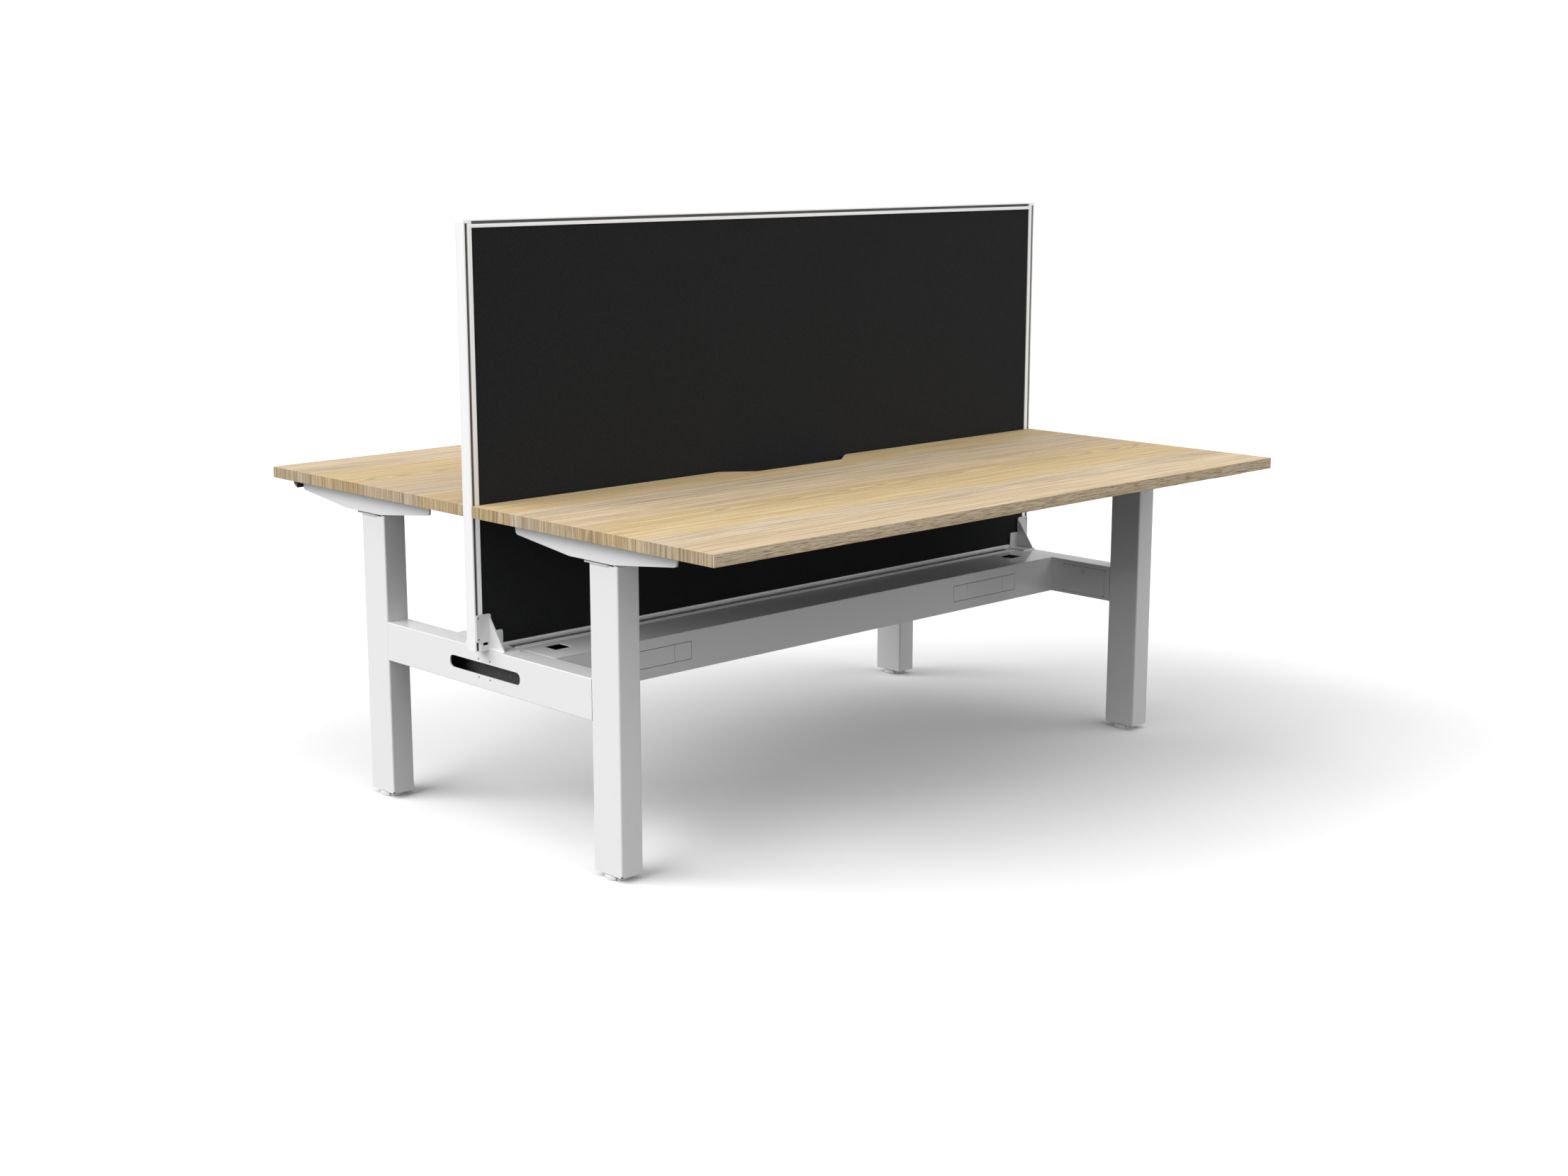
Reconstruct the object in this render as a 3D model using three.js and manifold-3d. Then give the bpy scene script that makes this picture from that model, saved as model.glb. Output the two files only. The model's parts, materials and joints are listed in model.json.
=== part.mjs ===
// Sit-stand bench for two: back-to-back worktops on electric lifting columns, two end frames,
// a cable duct between them and a fabric screen along the middle.
// Millimetres, +Z up. X runs along the bench, -Y is the front desk, the origin is the floor centre.

import * as THREE from 'three';
import { mergeVertices } from 'three/addons/utils/BufferGeometryUtils.js';
import Module from 'manifold-3d';

const wasm = await Module();
wasm.setup();

// Worktops
const topLength = 1800;
const topDepth = 750;
const topThickness = 25;
const topCornerRadius = 3;
const topToScreen = 1.5;
const scallopMouth = 410;
const scallopFlat = 276;
const scallopDepth = 54;
const scallopRadius = 25;

// Lifting columns
const columnInset = 60;
const columnWidth = 56;
const columnDepth = 88;
const columnWall = 2.5;
const columnRadius = 4;
const columnBase = 4;
const cornerNotch = 3.5;
const travel = 480;
const guideOverlap = 120;
const tubeFloorClearance = 39;
const guideClearance = 0.5;
const tubeWall = 2;
const headPlate = 4;
const headPlateWidth = 64;
const headPlateLongEnd = 57.5;
const headPlateShortEnd = 18.5;
const headPlateRadius = 6;

// Lifting drive inside each column
const spindleRadius = 7;
const spindleEngagement = 45;
const threadClearance = 0.3;
const nutLength = 40;
const nutDrop = 30;
const nutTubeRadius = 14;
const nutTubeBore = 10;
const spindleHoleClearance = 3;
const gearboxWidth = 44;
const gearboxLongEnd = 45;
const gearboxShortEnd = 30;
const motorRadius = 15;
const motorLength = 120;
const motorHeadroom = 1.5;
const seatGap = 0.3;

// Tapered channels that carry a worktop on its columns
const channelWidth = 60;
const channelSheet = 2;
const channelDepth = 45;
const channelEndDepth = 23;
const channelEndRadius = 10;
const channelLongReach = 281;
const channelLongFlat = 104;
const channelShortReach = 223;
const channelShortFlat = 35.5;
const channelEndSetback = 80.5;
const channelReturn = 4;
const channelInnerSetback = 90;

// Levelling feet
const footRadius = 28.5;
const footHeight = 10;
const footEdge = 1;
const footCollarRadius = 9;
const footCollar = 2;
const footStemRadius = 5;
const footStemLength = 34;
const footNotchWidth = 7;
const footNotchDepth = 5;

// Cross beams of the end frames, with their service covers
const beamTop = 413;
const beamHeight = 88;
const beamWall = 3;
const beamRadius = 2;
const beamSlotLength = 249;
const beamSlotHeight = 27;
const beamSlotDrop = 45.5;
const beamHoleRadius = 2.5;
const beamHoleSpacing = 40;
const coverFromColumn = 16;
const coverFromDuct = 40.6;
const coverHeight = 68.5;
const coverRadius = 6;
const coverSheet = 1.5;
const coverDrop = 46;
const coverLap = 10;

// Cable duct between the beams
const ductWidth = 346.8;
const ductSheet = 2;
const ductFlange = 12;
const ductSlot = 18;
const lidHem = 13;
const lidHemRise = 1.5;
const lidStiffener = 15;
const cableHoleLength = 44;
const cableHoleWidth = 43;
const cableHoleInset = 71;
const cableHoleOffset = 91.5;
const knockoutHeight = 40;
const knockoutEndWidth = 49;
const knockoutMiddleWidth = 135;
const knockoutInset = 146;
const knockoutDrop = 44;
const knockoutLine = 1.2;
const knockoutLineDepth = 1;

// Screen
const screenHeight = 900;
const screenThickness = 30;
const sideRail = 20.5;
const topRail = 17;
const bottomRail = 10;
const railGrooveOffset = 3.5;
const railGroove = 6;
const railGrooveDepth = 7;
const capHeight = 8;
const fabricRecess = 2;

// Screen brackets on the beams
const bracketSheet = 3;
const bracketEndInset = 2;
const bracketTabWidth = 38;
const bracketTabBottom = 19;
const bracketTabTop = 79;
const bracketStemInset = 16;
const bracketInnerTop = 40.5;
const bracketInnerReach = 38.3;
const bracketCorner = 6;
const bracketBaseWidth = 43;
const bracketBaseReach = 55;
const gussetInset = 5;
const gussetTop = 72;
const gussetReach = 52;
const bracketHoleRadius = 2;
const bracketHoleInset = 7.7;
const bracketHoleMargin = 7;
const windowWidth = 14;
const windowHeight = 6.5;
const windowInset = 17.5;
const windowBottom = 11.8;

// Control gear under each worktop
const controlBoxLength = 220;
const controlBoxDepth = 80;
const controlBoxHeight = 35;
const controlBoxRadius = 6;
const controlBoxFromEdge = 430;
const handsetLength = 110;
const handsetDepth = 14.5;
const handsetHeight = 20;
const handsetFaceHeight = 10;
const handsetRadius = 1.5;
const handsetEndInset = 19.4;
const handsetSetback = 57;
const buttonRadius = 3.2;
const buttonBody = 4;
const buttonProud = 1.5;
const buttonTravel = 1.5;
const buttonClearance = 0.3;
const buttonSpacing = 18;

// Places that follow from the sizes above
const topRearEdge = screenThickness / 2 + topToScreen;
const topUserEdge = topRearEdge + topDepth;
const columnX = topLength / 2 - columnInset;
const columnOffset = topUserEdge - channelEndSetback - channelLongReach;
const columnBottom = footHeight + footCollar;
const columnTop = columnBottom + tubeFloorClearance + travel + guideOverlap;
const channelBottom = columnTop + headPlate;
const topUnderside = channelBottom + channelDepth;
const deskHeight = topUnderside + topThickness;
const columnFace = columnOffset - columnDepth / 2;
const beamBottom = beamTop - beamHeight;
const beamOuter = columnX + columnWidth / 2;
const beamInner = columnX - columnWidth / 2;
const ductHalf = ductWidth / 2;
const lidBottom = beamTop - ductSheet;
const screenHalf = topLength / 2;
const screenFace = screenThickness / 2;
const screenTop = beamTop + screenHeight;
const tubeWidth = columnWidth - 2 * (columnWall + guideClearance);
const tubeDepth = columnDepth - 2 * (columnWall + guideClearance);
const tubeBottom = columnBottom + tubeFloorClearance;
const nutTop = columnTop - nutDrop;
const spindleBottom = nutTop - travel - spindleEngagement;
const gearboxBottom = channelBottom + channelSheet;
const spindleTop = gearboxBottom - seatGap;

// Cuts reach this far past the face that they open
const overrun = 1;
const arcSteps = 4;
const roundSides = 20;

const whitePaint = { color: 0xf2f2f2, roughness: 0.45, metalness: 0.1 };
const whiteRail = { color: 0xeeeeee, roughness: 0.4, metalness: 0.3 };
const oak = { color: 0xc9ac7c, roughness: 0.6, metalness: 0 };
const blackFabric = { color: 0x1c1c1d, roughness: 0.95, metalness: 0 };
const blackPlastic = { color: 0x161617, roughness: 0.5, metalness: 0 };
const whitePlastic = { color: 0xe9e9e9, roughness: 0.5, metalness: 0 };
const brightSteel = { color: 0xb4b6ba, roughness: 0.3, metalness: 0.9 };
const darkSteel = { color: 0x4a4b4e, roughness: 0.45, metalness: 0.8 };

// Solid modelling helpers
function toSolid(geometry) {
  const bare = geometry.clone();
  bare.deleteAttribute('normal');
  bare.deleteAttribute('uv');
  const welded = mergeVertices(bare);
  const corners = welded.index.array;
  const kept = [];
  for (let i = 0; i < corners.length; i += 3) {
    const [a, b, c] = corners.slice(i, i + 3);
    if (a !== b && b !== c && c !== a) kept.push(a, b, c);
  }
  const vertProperties = welded.attributes.position.array;
  return new wasm.Manifold(new wasm.Mesh({ numProp: 3, vertProperties, triVerts: new Uint32Array(kept) }));
}

function toGeometry(solid) {
  const mesh = solid.getMesh();
  const geometry = new THREE.BufferGeometry();
  geometry.setAttribute('position', new THREE.BufferAttribute(mesh.vertProperties, 3));
  geometry.setIndex(new THREE.BufferAttribute(mesh.triVerts, 1));
  geometry.computeVertexNormals();
  return geometry;
}

const union = (pieces) => pieces.map(toSolid).reduce((whole, piece) => whole.add(piece));
const joined = (pieces) => toGeometry(union(pieces));
const machined = (stock, cuts) => toGeometry(union(stock).subtract(union(cuts)));

// A block between two corners
function block(low, high) {
  const size = high.map((value, i) => value - low[i]);
  const centre = high.map((value, i) => (value + low[i]) / 2);
  return new THREE.BoxGeometry(...size).translate(...centre);
}

// A closed outline through [u, v, radius] corners, each rounded by its own radius
function outline(corners) {
  const shape = new THREE.Shape();
  const points = corners.map(([u, v]) => new THREE.Vector2(u, v));
  const count = points.length;
  points.forEach((corner, i) => {
    const radius = corners[i][2] ?? 0;
    const before = points[(i + count - 1) % count].clone().sub(corner).normalize();
    const after = points[(i + 1) % count].clone().sub(corner).normalize();
    const reach = radius / Math.tan(before.angleTo(after) / 2);
    const start = corner.clone().addScaledVector(before, reach);
    const end = corner.clone().addScaledVector(after, reach);
    if (i === 0) shape.moveTo(start.x, start.y);
    else shape.lineTo(start.x, start.y);
    if (radius > 0) shape.quadraticCurveTo(corner.x, corner.y, end.x, end.y);
  });
  shape.closePath();
  return shape;
}

function rectangle(width, height, radius = 0, centre = [0, 0]) {
  const [u, v] = centre;
  const w = width / 2;
  const h = height / 2;
  return outline([[u - w, v - h, radius], [u + w, v - h, radius], [u + w, v + h, radius], [u - w, v + h, radius]]);
}

// Extrusions of an outline: drawn in XY and raised along Z, in YZ along X, or in XZ along Y
function extrude(shape, length) {
  return new THREE.ExtrudeGeometry(shape, { depth: length, bevelEnabled: false, curveSegments: arcSteps });
}

function alongZ(shape, low, high) {
  return extrude(shape, high - low).translate(0, 0, low);
}

function alongX(shape, low, high) {
  const turn = new THREE.Matrix4().makeBasis(
    new THREE.Vector3(0, 1, 0),
    new THREE.Vector3(0, 0, 1),
    new THREE.Vector3(1, 0, 0),
  );
  return extrude(shape, high - low).applyMatrix4(turn).translate(low, 0, 0);
}

function alongY(shape, low, high) {
  const turn = new THREE.Matrix4().makeBasis(
    new THREE.Vector3(1, 0, 0),
    new THREE.Vector3(0, 0, 1),
    new THREE.Vector3(0, -1, 0),
  );
  return extrude(shape, high - low).applyMatrix4(turn).translate(0, high, 0);
}

// A round bar along one axis, through a point of the plane across that axis
function barX(radius, low, high, y, z, sides = roundSides) {
  const bar = new THREE.CylinderGeometry(radius, radius, high - low, sides);
  return bar.rotateZ(Math.PI / 2).translate((low + high) / 2, y, z);
}

function barY(radius, low, high, x, z, sides = roundSides) {
  return new THREE.CylinderGeometry(radius, radius, high - low, sides).translate(x, (low + high) / 2, z);
}

function barZ(radius, low, high, sides = roundSides) {
  const bar = new THREE.CylinderGeometry(radius, radius, high - low, sides);
  return bar.rotateX(Math.PI / 2).translate(0, 0, (low + high) / 2);
}

function turned(profile) {
  const points = profile.map(([r, z]) => new THREE.Vector2(r, z));
  return new THREE.LatheGeometry(points, roundSides).rotateX(Math.PI / 2);
}

const bench = new THREE.Group();

function addPiece(parent, name, geometry, look) {
  const mesh = new THREE.Mesh(geometry, new THREE.MeshStandardMaterial(look));
  mesh.name = name;
  parent.add(mesh);
}

// Column pieces are drawn about the column's own axis, with the channel's long end towards +Y.

// Fixed outer tube on a base plate that takes the foot's thread, with a small notch in one lower corner
function outerColumn() {
  const bore = rectangle(columnWidth - 2 * columnWall, columnDepth - 2 * columnWall, columnRadius - columnWall);
  const notchX = -columnWidth / 2;
  const notchY = -columnDepth / 2;
  return machined(
    [alongZ(rectangle(columnWidth, columnDepth, columnRadius), columnBottom, columnTop)],
    [
      alongZ(bore, columnBottom + columnBase, columnTop + overrun),
      barZ(footStemRadius + threadClearance, columnBottom - overrun, columnBottom + columnBase + overrun),
      block(
        [notchX - overrun, notchY - overrun, columnBottom - overrun],
        [notchX + cornerNotch, notchY + cornerNotch, columnBottom + cornerNotch],
      ),
    ],
  );
}

// Sliding inner tube, welded under the head plate that rests on the outer tube when the desk is down
function innerColumn() {
  const plateCentre = [0, (headPlateLongEnd - headPlateShortEnd) / 2];
  const plateShape = rectangle(headPlateWidth, headPlateLongEnd + headPlateShortEnd, headPlateRadius, plateCentre);
  const bore = rectangle(tubeWidth - 2 * tubeWall, tubeDepth - 2 * tubeWall);
  const tube = machined(
    [alongZ(rectangle(tubeWidth, tubeDepth, columnRadius - columnWall), tubeBottom, channelBottom)],
    [alongZ(bore, tubeBottom - overrun, channelBottom + overrun)],
  );
  const spindleHole = barZ(spindleRadius + spindleHoleClearance, columnTop - overrun, channelBottom + overrun);
  return machined([tube, alongZ(plateShape, columnTop, channelBottom)], [spindleHole]);
}

// Standing tube inside the column with the spindle nut at its top
function nutTube() {
  const low = columnBottom + columnBase;
  const nutBore = spindleRadius + threadClearance;
  const nutBottom = nutTop - nutLength;
  return turned([
    [nutTubeBore, low],
    [nutTubeRadius, low],
    [nutTubeRadius, nutTop],
    [nutBore, nutTop],
    [nutBore, nutBottom],
    [nutTubeBore, nutBottom],
    [nutTubeBore, low],
  ]);
}

function channelProfile(inset, top) {
  const endBottom = topUnderside - channelEndDepth + inset;
  const flatBottom = channelBottom + inset;
  const radius = channelEndRadius - inset;
  return outline([
    [-channelShortReach + inset, top],
    [-channelShortReach + inset, endBottom, radius],
    [-channelShortFlat, flatBottom],
    [channelLongFlat, flatBottom],
    [channelLongReach - inset, endBottom, radius],
    [channelLongReach - inset, top],
  ]);
}

// Folded channel, open towards the worktop, with a hole over the spindle. Its ends are cut at a slant:
// the inner wall stops short of the outer one, which has a narrow return.
function topChannel() {
  const half = channelWidth / 2;
  const innerHalf = half - channelSheet;
  const slants = [[-channelShortReach, 1], [channelLongReach, -1]].map(([end, inwards]) => {
    const start = end - inwards * overrun;
    const corner = outline([
      [channelReturn - half, start],
      [half + overrun, start],
      [half + overrun, end + inwards * channelInnerSetback],
    ]);
    return alongZ(corner, channelBottom - overrun, topUnderside + overrun);
  });
  return machined(
    [alongX(channelProfile(0, topUnderside), -half, half)],
    [
      alongX(channelProfile(channelSheet, topUnderside + overrun), -innerHalf, innerHalf),
      barZ(spindleRadius + spindleHoleClearance, channelBottom - overrun, gearboxBottom + overrun),
      ...slants,
    ],
  );
}

// Motor lying in the channel on a gearbox that stands over the spindle
function liftMotor() {
  const half = gearboxWidth / 2;
  const gearboxTop = topUnderside - motorHeadroom;
  const motorAxis = gearboxTop - motorRadius;
  const motorStart = gearboxLongEnd - overrun;
  return joined([
    block([-half, -gearboxShortEnd, gearboxBottom], [half, gearboxLongEnd, gearboxTop]),
    barY(motorRadius, motorStart, gearboxLongEnd + motorLength, 0, motorAxis),
  ]);
}

// Round levelling foot on a threaded stem, with a spanner notch at each quarter of the rim
function levellingFoot() {
  const disc = turned([
    [0, 0],
    [footRadius - footEdge, 0],
    [footRadius, footEdge],
    [footRadius, footHeight - footEdge],
    [footRadius - footEdge, footHeight],
    [footCollarRadius, footHeight],
    [footCollarRadius, columnBottom],
    [footStemRadius, columnBottom],
    [footStemRadius, columnBottom + footStemLength],
    [0, columnBottom + footStemLength],
  ]);
  const notches = [];
  for (let i = 0; i < 4; i += 1) {
    const notch = block(
      [footRadius - footNotchDepth, -footNotchWidth / 2, footEdge],
      [footRadius + overrun, footNotchWidth / 2, footHeight + overrun],
    );
    notches.push(notch.rotateZ((i + 0.5) * Math.PI / 2));
  }
  return machined([disc], notches);
}

function addColumns() {
  const sides = [['left', -columnX, 0], ['right', columnX, Math.PI]];
  const rows = [['front', -columnOffset], ['rear', columnOffset]];
  for (const [row, y] of rows) {
    for (const [side, x, turn] of sides) {
      const column = new THREE.Group();
      column.position.set(x, y, 0);
      column.rotation.z = turn;
      bench.add(column);
      addPiece(column, `leg_${row}_${side}`, outerColumn(), whitePaint);
      addPiece(column, `inner_tube_${row}_${side}`, innerColumn(), whitePaint);
      addPiece(column, `nut_tube_${row}_${side}`, nutTube(), darkSteel);
      addPiece(column, `spindle_${row}_${side}`, barZ(spindleRadius, spindleBottom, spindleTop), brightSteel);
      addPiece(column, `lift_motor_${row}_${side}`, liftMotor(), darkSteel);
      addPiece(column, `top_channel_${row}_${side}`, topChannel(), whitePaint);
      addPiece(column, `foot_${row}_${side}`, levellingFoot(), whitePlastic);
    }
  }
}

// The front worktop and what hangs under it. The rear desk is the same set turned half a turn.

function worktop() {
  const end = topLength / 2;
  const mouth = scallopMouth / 2;
  const flat = scallopFlat / 2;
  const scallop = -topRearEdge - scallopDepth;
  const shape = outline([
    [-end, -topUserEdge, topCornerRadius],
    [end, -topUserEdge, topCornerRadius],
    [end, -topRearEdge, topCornerRadius],
    [mouth, -topRearEdge, scallopRadius],
    [flat, scallop, scallopRadius],
    [-flat, scallop, scallopRadius],
    [-mouth, -topRearEdge, scallopRadius],
    [-end, -topRearEdge, topCornerRadius],
  ]);
  return alongZ(shape, topUnderside, deskHeight);
}

function controlBox() {
  const centre = [0, -topUserEdge + controlBoxFromEdge];
  const shape = rectangle(controlBoxLength, controlBoxDepth, controlBoxRadius, centre);
  return alongZ(shape, topUnderside - controlBoxHeight, topUnderside);
}

const handsetFace = -topUserEdge + handsetSetback;
const handsetBack = handsetFace + handsetDepth;
const handsetEnd = topLength / 2 - handsetEndInset;
const handsetCentre = handsetEnd - handsetLength / 2;
const buttonZ = topUnderside - handsetFaceHeight / 2;
const buttonBack = handsetFace + buttonBody;

// Handset with a pocket for each button in the face towards the user
function handset() {
  const shape = outline([
    [handsetFace, topUnderside],
    [handsetFace, topUnderside - handsetFaceHeight, handsetRadius],
    [handsetBack, topUnderside - handsetHeight, handsetRadius],
    [handsetBack, topUnderside],
  ]);
  const pocketEnd = buttonBack + buttonTravel + buttonClearance;
  const pockets = [-1, 1].map((side) => {
    const x = handsetCentre + side * buttonSpacing / 2;
    return barY(buttonRadius + buttonClearance, handsetFace - overrun, pocketEnd, x, buttonZ);
  });
  return machined([alongX(shape, handsetEnd - handsetLength, handsetEnd)], pockets);
}

function pushButton(side) {
  const x = handsetCentre + side * buttonSpacing / 2;
  return barY(buttonRadius, handsetFace - buttonProud, buttonBack, x, buttonZ);
}

function addDesks() {
  for (const [row, turn] of [['front', 0], ['rear', Math.PI]]) {
    const desk = new THREE.Group();
    desk.rotation.z = turn;
    bench.add(desk);
    addPiece(desk, `worktop_${row}`, worktop(), oak);
    addPiece(desk, `control_box_${row}`, controlBox(), blackPlastic);
    addPiece(desk, `handset_${row}`, handset(), blackPlastic);
    addPiece(desk, `up_button_${row}`, pushButton(-1), blackPlastic);
    addPiece(desk, `down_button_${row}`, pushButton(1), blackPlastic);
  }
}

// End frames. The left beam is drawn and the right one is the same beam turned half a turn.

const coverOuter = columnFace - coverFromColumn;
const coverLength = coverOuter - ductHalf - coverFromDuct;
const coverCentre = coverOuter - coverLength / 2;
const coverZ = beamTop - coverDrop;

function crossBeam() {
  const centre = [-columnX, (beamTop + beamBottom) / 2];
  const bore = rectangle(columnWidth - 2 * beamWall, beamHeight - 2 * beamWall, 0, centre);
  const outside = -beamOuter;
  const inside = -beamInner;
  const slotZ = beamTop - beamSlotDrop;
  const slot = rectangle(beamSlotLength, beamSlotHeight, beamSlotHeight / 2, [0, slotZ]);
  const service = [coverLength - 2 * coverLap, coverHeight - 2 * coverLap, coverRadius];
  const cuts = [
    alongY(bore, -columnFace - overrun, columnFace + overrun),
    alongX(slot, outside - overrun, outside + beamWall + overrun),
  ];
  for (const along of [-1, 1]) {
    const opening = rectangle(...service, [along * coverCentre, coverZ]);
    cuts.push(alongX(opening, inside - beamWall - overrun, inside + overrun));
    for (const up of [-1, 1]) {
      const y = along * beamHoleSpacing / 2;
      const z = slotZ + up * beamHoleSpacing / 2;
      cuts.push(barX(beamHoleRadius, outside - overrun, inside + overrun, y, z, 8));
    }
  }
  const shape = rectangle(columnWidth, beamHeight, beamRadius, centre);
  return machined([alongY(shape, -columnFace, columnFace)], cuts);
}

function serviceCover(along) {
  const shape = rectangle(coverLength, coverHeight, coverRadius, [along * coverCentre, coverZ]);
  return alongX(shape, -beamInner, -beamInner + coverSheet);
}

function addEndFrames() {
  for (const [side, turn, near, far] of [['left', 0, 'front', 'rear'], ['right', Math.PI, 'rear', 'front']]) {
    const end = new THREE.Group();
    end.rotation.z = turn;
    bench.add(end);
    addPiece(end, `beam_${side}`, crossBeam(), whitePaint);
    addPiece(end, `beam_cover_${near}_${side}`, serviceCover(-1), whitePaint);
    addPiece(end, `beam_cover_${far}_${side}`, serviceCover(1), whitePaint);
  }
}

// Cable duct: a trough between the beams with one lid on each side of the screen

// Scored outlines of the knock-outs in the trough's wall, drawn for the front wall
function knockoutLines() {
  const widths = [knockoutEndWidth, knockoutMiddleWidth, knockoutEndWidth];
  const z = beamTop - knockoutDrop;
  const lines = [];
  for (const side of [-1, 1]) {
    let start = beamInner - knockoutInset;
    for (const width of widths) {
      const centre = [side * (start - width / 2), z];
      const ring = rectangle(width + knockoutLine, knockoutHeight + knockoutLine, 0, centre);
      ring.holes.push(rectangle(width - knockoutLine, knockoutHeight - knockoutLine, 0, centre));
      lines.push(alongY(ring, -ductHalf - overrun, -ductHalf + knockoutLineDepth));
      start -= width;
    }
  }
  return lines;
}

function ductTray() {
  const inner = ductHalf - ductSheet;
  const section = outline([
    [-ductHalf, beamBottom],
    [ductHalf, beamBottom],
    [ductHalf, lidBottom],
    [inner - ductFlange, lidBottom],
    [inner - ductFlange, lidBottom - ductSheet],
    [inner, lidBottom - ductSheet],
    [inner, beamBottom + ductSheet],
    [-inner, beamBottom + ductSheet],
    [-inner, lidBottom - ductSheet],
    [-inner + ductFlange, lidBottom - ductSheet],
    [-inner + ductFlange, lidBottom],
    [-ductHalf, lidBottom],
  ]);
  const front = knockoutLines();
  const rear = knockoutLines().map((line) => line.rotateZ(Math.PI));
  return machined([alongX(section, -beamInner, beamInner)], [...front, ...rear]);
}

// Lid with a raised hem and a downturned stiffener along the slot beside the screen, drawn for the front
function ductLid() {
  const slotEdge = -screenFace - ductSlot;
  const stiffenerBottom = lidBottom - lidStiffener;
  const section = outline([
    [-ductHalf, lidBottom],
    [slotEdge - ductSheet, lidBottom],
    [slotEdge - ductSheet, stiffenerBottom],
    [slotEdge, stiffenerBottom],
    [slotEdge, beamTop + lidHemRise],
    [slotEdge - lidHem, beamTop + lidHemRise],
    [slotEdge - lidHem, beamTop],
    [-ductHalf, beamTop],
  ]);
  const holes = [-1, 1].map((side) => {
    const centre = [side * (beamInner - cableHoleInset), -cableHoleOffset];
    return alongZ(rectangle(cableHoleLength, cableHoleWidth, 0, centre), lidBottom - overrun, beamTop + overrun);
  });
  return machined([alongX(section, -beamInner, beamInner)], holes);
}

function addDuct() {
  addPiece(bench, 'duct_tray', ductTray(), whitePaint);
  for (const [row, turn] of [['front', 0], ['rear', Math.PI]]) {
    const lid = new THREE.Group();
    lid.rotation.z = turn;
    bench.add(lid);
    addPiece(lid, `duct_lid_${row}`, ductLid(), whitePaint);
  }
}

// Screen: a fabric panel in a frame of grooved rails, with a cap on each upper corner

function railSection(width, outerEdge, inwards) {
  const face = screenFace;
  const floor = face - railGrooveDepth;
  const grooveStart = outerEdge + inwards * railGrooveOffset;
  const grooveEnd = grooveStart + inwards * railGroove;
  const innerEdge = outerEdge + inwards * width;
  return [
    [outerEdge, -face],
    [grooveStart, -face],
    [grooveStart, -floor],
    [grooveEnd, -floor],
    [grooveEnd, -face],
    [innerEdge, -face],
    [innerEdge, face],
    [grooveEnd, face],
    [grooveEnd, floor],
    [grooveStart, floor],
    [grooveStart, face],
    [outerEdge, face],
  ];
}

function addScreen() {
  const innerEnd = screenHalf - sideRail;
  const capBottom = screenTop - capHeight;
  const fabricHalf = screenFace - fabricRecess;
  for (const [side, sign] of [['left', -1], ['right', 1]]) {
    const section = outline(railSection(sideRail, sign * screenHalf, -sign));
    addPiece(bench, `screen_rail_${side}`, alongZ(section, beamTop, capBottom), whiteRail);
    const ends = [sign * innerEnd, sign * screenHalf].sort((a, b) => a - b);
    const cap = block([ends[0], -screenFace, capBottom], [ends[1], screenFace, screenTop]);
    addPiece(bench, `screen_cap_${side}`, cap, whitePlastic);
  }
  const topSection = outline(railSection(topRail, screenTop, -1).map(([z, y]) => [y, z]));
  addPiece(bench, 'screen_rail_top', alongX(topSection, -innerEnd, innerEnd), whiteRail);
  const bottom = block([-innerEnd, -screenFace, beamTop], [innerEnd, screenFace, beamTop + bottomRail]);
  addPiece(bench, 'screen_rail_bottom', bottom, whiteRail);
  const panel = block(
    [-innerEnd, -fabricHalf, beamTop + bottomRail],
    [innerEnd, fabricHalf, screenTop - topRail],
  );
  addPiece(bench, 'screen_panel', panel, blackFabric);
}

// Screen bracket: a stepped plate on the screen's face, a gusset and a base on the beam.
// Drawn for the front of the screen, at the left end for side -1 and the right end for side 1.
function screenBracket(side) {
  const tabOuter = screenHalf - bracketEndInset;
  const tabInner = tabOuter - bracketTabWidth;
  const stemOuter = screenHalf - bracketStemInset;
  const plateInner = beamOuter - bracketInnerReach;
  const plate = outline([
    [side * plateInner, beamTop],
    [side * stemOuter, beamTop],
    [side * stemOuter, beamTop + bracketTabBottom],
    [side * tabOuter, beamTop + bracketTabBottom, bracketCorner],
    [side * tabOuter, beamTop + bracketTabTop, bracketCorner],
    [side * tabInner, beamTop + bracketTabTop, bracketCorner],
    [side * tabInner, beamTop + bracketInnerTop],
    [side * plateInner, beamTop + bracketInnerTop, bracketCorner],
  ]);
  const plateFront = -screenFace - bracketSheet;
  const gusset = outline([
    [-screenFace, beamTop],
    [plateFront - gussetReach, beamTop],
    [plateFront, beamTop + gussetTop],
    [-screenFace, beamTop + gussetTop],
  ]);
  const gussetX = side * (beamOuter - gussetInset);
  const baseEnds = [side * beamOuter, side * (beamOuter - bracketBaseWidth)].sort((a, b) => a - b);
  const base = block(
    [baseEnds[0], -screenFace - bracketBaseReach, beamTop],
    [baseEnds[1], -screenFace, beamTop + bracketSheet],
  );
  const cuts = [bracketTabBottom + bracketHoleMargin, bracketTabTop - bracketHoleMargin].map((rise) => {
    const x = side * (screenHalf - bracketHoleInset);
    return barY(bracketHoleRadius, plateFront - overrun, -screenFace + overrun, x, beamTop + rise, 8);
  });
  const windowX = side * (screenHalf - windowInset - windowWidth / 2);
  const windowZ = beamTop + windowBottom + windowHeight / 2;
  const window = rectangle(windowWidth, windowHeight, 0, [windowX, windowZ]);
  cuts.push(alongY(window, plateFront - overrun, -screenFace + overrun));
  return machined(
    [
      alongY(plate, plateFront, -screenFace),
      alongX(gusset, gussetX - bracketSheet / 2, gussetX + bracketSheet / 2),
      base,
    ],
    cuts,
  );
}

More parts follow.
